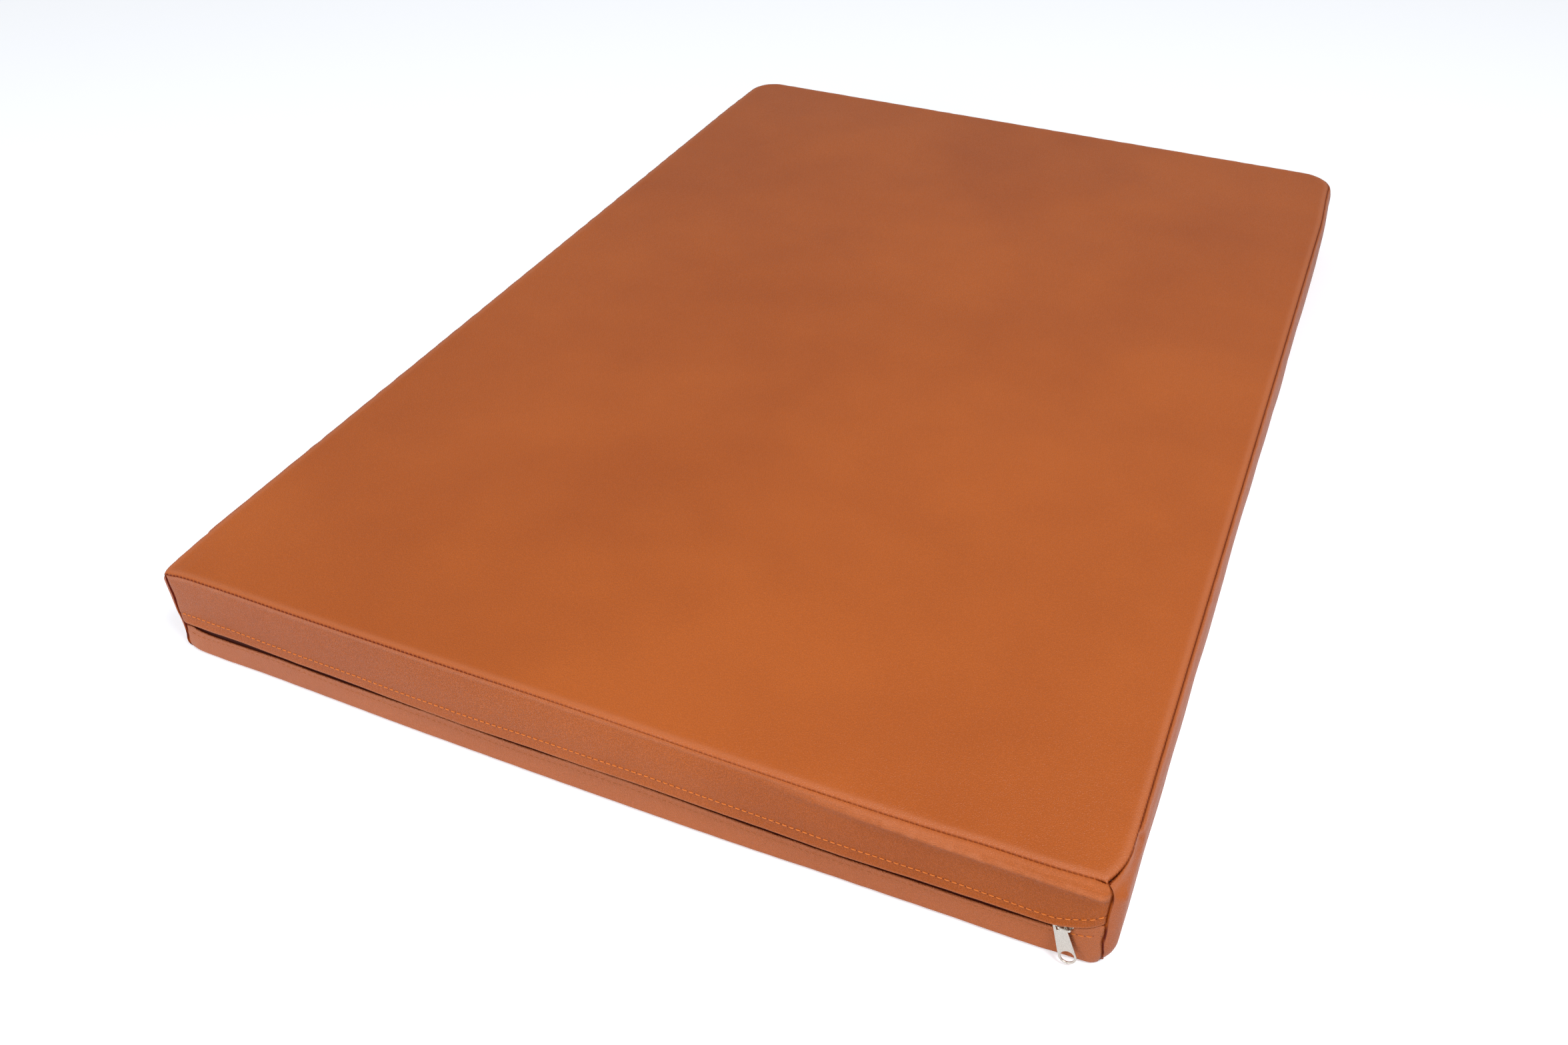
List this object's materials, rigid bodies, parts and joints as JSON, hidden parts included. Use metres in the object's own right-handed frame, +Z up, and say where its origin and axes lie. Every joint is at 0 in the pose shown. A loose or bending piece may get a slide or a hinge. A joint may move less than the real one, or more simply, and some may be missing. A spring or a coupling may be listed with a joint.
{
  "type": "soft landing mat",
  "caption": "Rectangular foam landing mat in a sewn leatherette cover with rolled sides; a zip under a topstitched flap closes one short side, with a hanging pull tab.",
  "frame": {"origin": "middle of the footprint on the floor, pull tab included", "axes": "+Z up, -Y towards the zip side, the mat is longest along Y"},
  "size_m": [0.7, 1, 0.08],
  "materials": {
    "foam_core": "open-cell foam",
    "top_panel": "satin pebble-grain leatherette",
    "bottom_panel": "satin pebble-grain leatherette",
    "side_band": "satin pebble-grain leatherette",
    "front_band_upper": "satin pebble-grain leatherette",
    "front_band_lower": "satin pebble-grain leatherette",
    "zip_tape_upper": "woven tape",
    "zip_tape_lower": "woven tape",
    "zip_coil_upper": "moulded coil",
    "zip_coil_lower": "moulded coil",
    "slider_body": "nickel plate",
    "slider_bridge": "nickel plate",
    "pull_tab": "nickel plate"
  },
  "bodies": {
    "mat": {"foam_core": "foam_core", "top_panel": "top_panel", "bottom_panel": "bottom_panel", "side_band": "side_band", "front_band_upper": "front_band_upper", "front_band_lower": "front_band_lower", "zip_tape_upper": "zip_tape_upper", "zip_tape_lower": "zip_tape_lower", "zip_coil_upper": "zip_coil_upper", "zip_coil_lower": "zip_coil_lower"},
    "slider": {"slider_body": "slider_body", "slider_bridge": "slider_bridge"},
    "tab": {"pull_tab": "pull_tab"}
  },
  "joints": [
    {"name": "slider_slide", "type": "slide", "parent": "mat", "child": "slider", "axis": [-1, 0, 0], "range_m": [0, 0.6376]},
    {"name": "tab_swing", "type": "hinge", "parent": "slider", "child": "tab", "pos_m": [0.31485, -0.49479, 0.029], "axis": [0, 0.9848, -0.1736], "range_deg": [-5, 75]}
  ]
}
